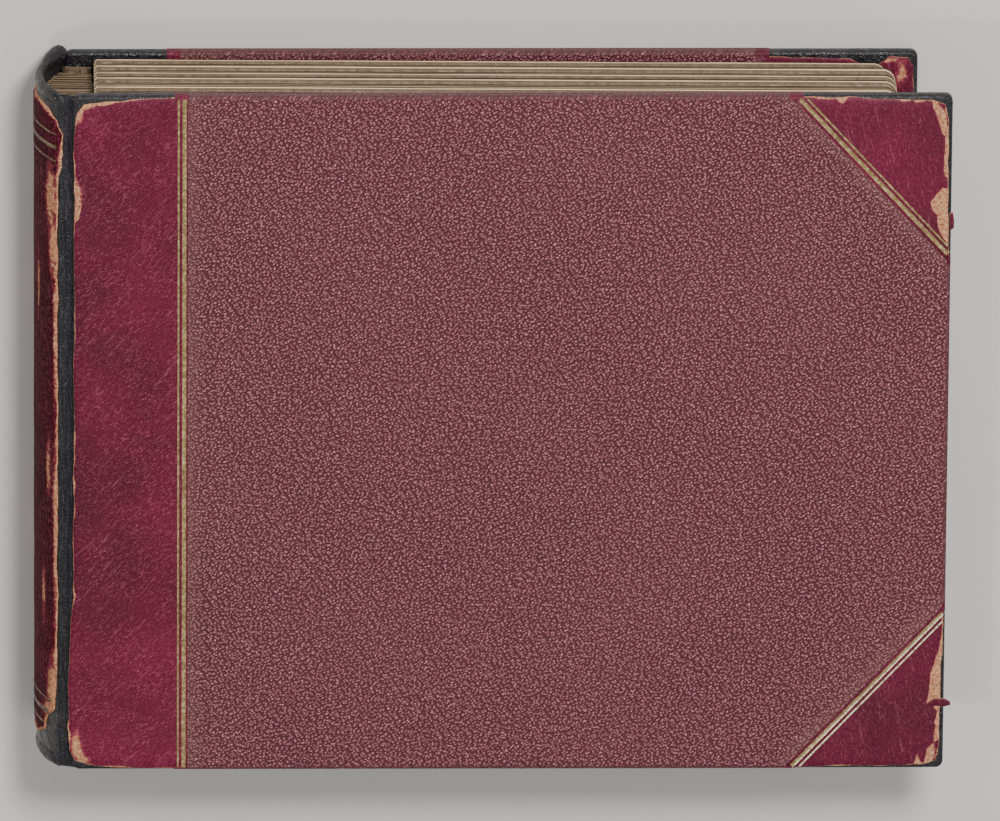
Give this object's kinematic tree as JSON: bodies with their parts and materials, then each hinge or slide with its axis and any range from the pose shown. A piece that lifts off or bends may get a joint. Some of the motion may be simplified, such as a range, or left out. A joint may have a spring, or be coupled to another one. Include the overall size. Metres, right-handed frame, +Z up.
{
  "type": "scrapbook album",
  "caption": "Oblong half-leather scrapbook album with a rounded spine, cloth sides, gilt lines and thick card leaves on guards; covers and leaves turn.",
  "frame": {"origin": "centre of the bounding box's base, on the surface that the back cover lies on", "axes": "+X from the spine to the fore-edge, +Y from the tail to the head, +Z up through the closed album towards the front cover"},
  "size_m": [0.26, 0.205, 0.041],
  "materials": {
    "book_cloth": "pebble-grained maroon book cloth, matt with small pinkish highlights",
    "red_leather": "old dark red leather, scratched and worn to tan at the edges",
    "black_leather": "new black leather, fine grain, soft gloss",
    "joint_leather": "black leather, creased lengthwise, flexes at the joint",
    "gilt": "worn gold leaf, dull olive gold",
    "paper_board": "matt grey-brown board",
    "infill_paper": "matt paper",
    "endpaper": "matt toned paper",
    "leaf_card": "matt tan card, browned at the edges",
    "hinge_linen": "fine linen",
    "guard_card": "matt brown folded card",
    "cord": "twisted cord",
    "liner_paper": "matt brown paper",
    "linen": "open weave linen",
    "linen_tape": "woven tape"
  },
  "bodies": {
    "back_cover": {"back_board": "paper_board", "back_infill": "infill_paper", "back_cloth": "book_cloth", "back_strip_underlay": "black_leather", "back_strip_leather": "red_leather", "back_corner_underlays": "black_leather", "back_head_corner": "red_leather", "back_tail_corner": "red_leather", "back_pastedown": "endpaper", "back_strip_gilt": "gilt", "back_corner_gilt": "gilt"},
    "spine": {"spine_leather": "red_leather", "spine_underlay": "black_leather", "cap_cords": "cord", "spine_liner": "liner_paper", "mull": "linen", "sewing_tapes": "linen_tape", "guards": "guard_card", "spine_gilt": "gilt", "front_joint_leather": "joint_leather", "back_joint_leather": "joint_leather"},
    "front_cover": {"front_board": "paper_board", "front_infill": "infill_paper", "front_cloth": "book_cloth", "front_strip_underlay": "black_leather", "front_strip_leather": "red_leather", "front_corner_underlays": "black_leather", "front_head_corner": "red_leather", "front_tail_corner": "red_leather", "front_pastedown": "endpaper", "front_strip_gilt": "gilt", "front_corner_gilt": "gilt"},
    "back_flyleaf": {"back_flyleaf": "endpaper"},
    "front_flyleaf": {"front_flyleaf": "endpaper"},
    "leaf_01": {"leaf_01": "leaf_card", "leaf_hinge_01": "hinge_linen"},
    "leaf_02": {"leaf_02": "leaf_card", "leaf_hinge_02": "hinge_linen"},
    "leaf_03": {"leaf_03": "leaf_card", "leaf_hinge_03": "hinge_linen"},
    "leaf_04": {"leaf_04": "leaf_card", "leaf_hinge_04": "hinge_linen"},
    "leaf_05": {"leaf_05": "leaf_card", "leaf_hinge_05": "hinge_linen"},
    "leaf_06": {"leaf_06": "leaf_card", "leaf_hinge_06": "hinge_linen"},
    "leaf_07": {"leaf_07": "leaf_card", "leaf_hinge_07": "hinge_linen"},
    "leaf_08": {"leaf_08": "leaf_card", "leaf_hinge_08": "hinge_linen"},
    "leaf_09": {"leaf_09": "leaf_card", "leaf_hinge_09": "hinge_linen"},
    "leaf_10": {"leaf_10": "leaf_card", "leaf_hinge_10": "hinge_linen"},
    "leaf_11": {"leaf_11": "leaf_card", "leaf_hinge_11": "hinge_linen"},
    "leaf_12": {"leaf_12": "leaf_card", "leaf_hinge_12": "hinge_linen"}
  },
  "joints": [
    {"name": "back_hinge", "type": "hinge", "parent": "back_cover", "child": "spine", "pos_m": [-0.1225, 0, 0.0005], "axis": [0, 1, 0], "range_deg": [-60, 0], "deforming": ["back_joint_leather"]},
    {"name": "front_hinge", "type": "hinge", "parent": "spine", "child": "front_cover", "pos_m": [-0.1205, 0, 0.0405], "axis": [0, -1, 0], "range_deg": [0, 180], "deforming": ["front_joint_leather"]},
    {"name": "front_flyleaf_turn", "type": "hinge", "parent": "spine", "child": "front_flyleaf", "pos_m": [-0.1185, 0, 0.0359], "axis": [0, -1, 0], "range_deg": [0, 102.01]},
    {"name": "leaf_01_turn", "type": "hinge", "parent": "spine", "child": "leaf_01", "pos_m": [-0.113, 0, 0.03425], "axis": [0, -1, 0], "range_deg": [0, 74]},
    {"name": "leaf_02_turn", "type": "hinge", "parent": "spine", "child": "leaf_02", "pos_m": [-0.113, 0, 0.03175], "axis": [0, -1, 0], "range_deg": [0, 61.99]},
    {"name": "leaf_03_turn", "type": "hinge", "parent": "spine", "child": "leaf_03", "pos_m": [-0.113, 0, 0.02925], "axis": [0, -1, 0], "range_deg": [0, 50.01]},
    {"name": "leaf_04_turn", "type": "hinge", "parent": "spine", "child": "leaf_04", "pos_m": [-0.113, 0, 0.02675], "axis": [0, -1, 0], "range_deg": [0, 39.01]},
    {"name": "leaf_05_turn", "type": "hinge", "parent": "spine", "child": "leaf_05", "pos_m": [-0.113, 0, 0.02425], "axis": [0, -1, 0], "range_deg": [0, 29]},
    {"name": "leaf_06_turn", "type": "hinge", "parent": "spine", "child": "leaf_06", "pos_m": [-0.113, 0, 0.02175], "axis": [0, -1, 0], "range_deg": [0, 19.01]},
    {"name": "leaf_07_turn", "type": "hinge", "parent": "spine", "child": "leaf_07", "pos_m": [-0.113, 0, 0.01925], "axis": [0, -1, 0], "range_deg": [-7.2, 0]},
    {"name": "leaf_08_turn", "type": "hinge", "parent": "spine", "child": "leaf_08", "pos_m": [-0.113, 0, 0.01675], "axis": [0, -1, 0], "range_deg": [-15.6, 0]},
    {"name": "leaf_09_turn", "type": "hinge", "parent": "spine", "child": "leaf_09", "pos_m": [-0.113, 0, 0.01425], "axis": [0, -1, 0], "range_deg": [-24, 0]},
    {"name": "leaf_10_turn", "type": "hinge", "parent": "spine", "child": "leaf_10", "pos_m": [-0.113, 0, 0.01175], "axis": [0, -1, 0], "range_deg": [-32.4, 0]},
    {"name": "leaf_11_turn", "type": "hinge", "parent": "spine", "child": "leaf_11", "pos_m": [-0.113, 0, 0.00925], "axis": [0, -1, 0], "range_deg": [-40.8, 0]},
    {"name": "leaf_12_turn", "type": "hinge", "parent": "spine", "child": "leaf_12", "pos_m": [-0.113, 0, 0.00675], "axis": [0, -1, 0], "range_deg": [-49.2, 0]},
    {"name": "back_flyleaf_turn", "type": "hinge", "parent": "spine", "child": "back_flyleaf", "pos_m": [-0.1185, 0, 0.0051], "axis": [0, -1, 0], "range_deg": [-56.4, 0]}
  ],
  "couplings": [
    {"joint": "front_flyleaf_turn", "follows": "front_hinge", "ratio": 0.5667},
    {"joint": "leaf_01_turn", "follows": "front_hinge", "ratio": 0.4111},
    {"joint": "leaf_02_turn", "follows": "front_hinge", "ratio": 0.3444},
    {"joint": "leaf_03_turn", "follows": "front_hinge", "ratio": 0.2778},
    {"joint": "leaf_04_turn", "follows": "front_hinge", "ratio": 0.2167},
    {"joint": "leaf_05_turn", "follows": "front_hinge", "ratio": 0.1611},
    {"joint": "leaf_06_turn", "follows": "front_hinge", "ratio": 0.1056},
    {"joint": "leaf_07_turn", "follows": "back_hinge", "ratio": 0.12},
    {"joint": "leaf_08_turn", "follows": "back_hinge", "ratio": 0.26},
    {"joint": "leaf_09_turn", "follows": "back_hinge", "ratio": 0.4},
    {"joint": "leaf_10_turn", "follows": "back_hinge", "ratio": 0.54},
    {"joint": "leaf_11_turn", "follows": "back_hinge", "ratio": 0.68},
    {"joint": "leaf_12_turn", "follows": "back_hinge", "ratio": 0.82},
    {"joint": "back_flyleaf_turn", "follows": "back_hinge", "ratio": 0.94}
  ]
}
